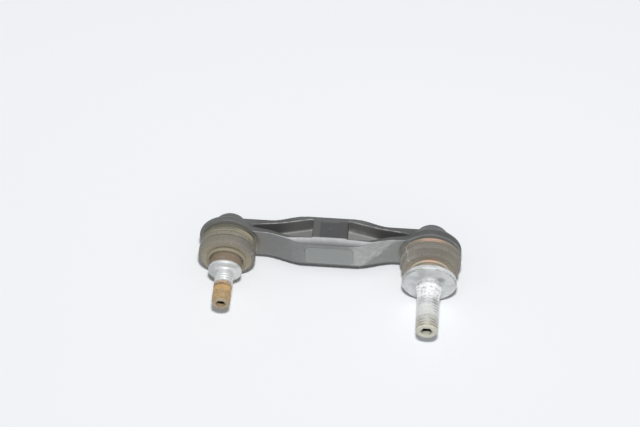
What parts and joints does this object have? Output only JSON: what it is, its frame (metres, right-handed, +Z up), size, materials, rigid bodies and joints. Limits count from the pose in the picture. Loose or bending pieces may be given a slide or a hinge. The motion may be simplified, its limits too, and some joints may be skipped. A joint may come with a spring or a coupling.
{
  "type": "stabilizer link",
  "caption": "Short moulded stabilizer link with a rubber-booted ball joint and a threaded, flanged stud at each end, for joining an anti-roll bar to a suspension strut or arm.",
  "frame": {"origin": "middle of the bounding box, at its bottom, where the part lies on its side", "axes": "+X from the M10 end to the M12 end, -Y the way the studs point, +Z up"},
  "size_m": [0.1427, 0.0682, 0.0331],
  "materials": {
    "body_plastic": "glass-filled polyamide, worn and dusty",
    "m10_stud_steel": "zinc plated, rust on the thread",
    "m12_stud_steel": "zinc plated, dull white",
    "seat_plastic": "acetal",
    "retainer_steel": "bare",
    "m10_boot_rubber": "dusty, yellowed ridges",
    "m12_boot_rubber": "dusty",
    "m10_ring_steel": "spring steel, tarnished",
    "m12_ring_steel": "spring steel, rusted"
  },
  "bodies": {
    "link": {"link_body": "body_plastic", "m10_ball_seat": "seat_plastic", "m10_retaining_ring": "retainer_steel", "m10_upper_clamp_ring": "m10_ring_steel", "m12_ball_seat": "seat_plastic", "m12_retaining_ring": "retainer_steel", "m12_upper_clamp_ring": "m12_ring_steel"},
    "m10_rubber": {"m10_boot": "m10_boot_rubber"},
    "m10_lower_ring": {"m10_lower_clamp_ring": "m10_ring_steel"},
    "m10_pin": {"m10_ball_stud": "m10_stud_steel"},
    "m12_rubber": {"m12_boot": "m12_boot_rubber"},
    "m12_lower_ring": {"m12_lower_clamp_ring": "m12_ring_steel"},
    "m12_pin": {"m12_ball_stud": "m12_stud_steel"}
  },
  "joints": [
    {"name": "m10_swing", "type": "hinge", "parent": "link", "child": "m10_rubber", "pos_m": [-0.0552, 0.02142, 0.01655], "axis": [1, 0, 0], "range_deg": [-18, 18], "deforming": ["m10_boot"]},
    {"name": "m10_tilt", "type": "hinge", "parent": "m10_rubber", "child": "m10_lower_ring", "pos_m": [-0.0552, 0.02142, 0.01655], "axis": [0, 0, 1], "range_deg": [-18, 18], "deforming": ["m10_boot"]},
    {"name": "m10_spin", "type": "hinge", "parent": "m10_lower_ring", "child": "m10_pin", "pos_m": [-0.0552, 0.02142, 0.01655], "axis": [0, -1, 0], "continuous": true},
    {"name": "m12_swing", "type": "hinge", "parent": "link", "child": "m12_rubber", "pos_m": [0.0548, 0.02142, 0.01655], "axis": [1, 0, 0], "range_deg": [-18, 18], "deforming": ["m12_boot"]},
    {"name": "m12_tilt", "type": "hinge", "parent": "m12_rubber", "child": "m12_lower_ring", "pos_m": [0.0548, 0.02142, 0.01655], "axis": [0, 0, 1], "range_deg": [-18, 18], "deforming": ["m12_boot"]},
    {"name": "m12_spin", "type": "hinge", "parent": "m12_lower_ring", "child": "m12_pin", "pos_m": [0.0548, 0.02142, 0.01655], "axis": [0, -1, 0], "continuous": true}
  ]
}
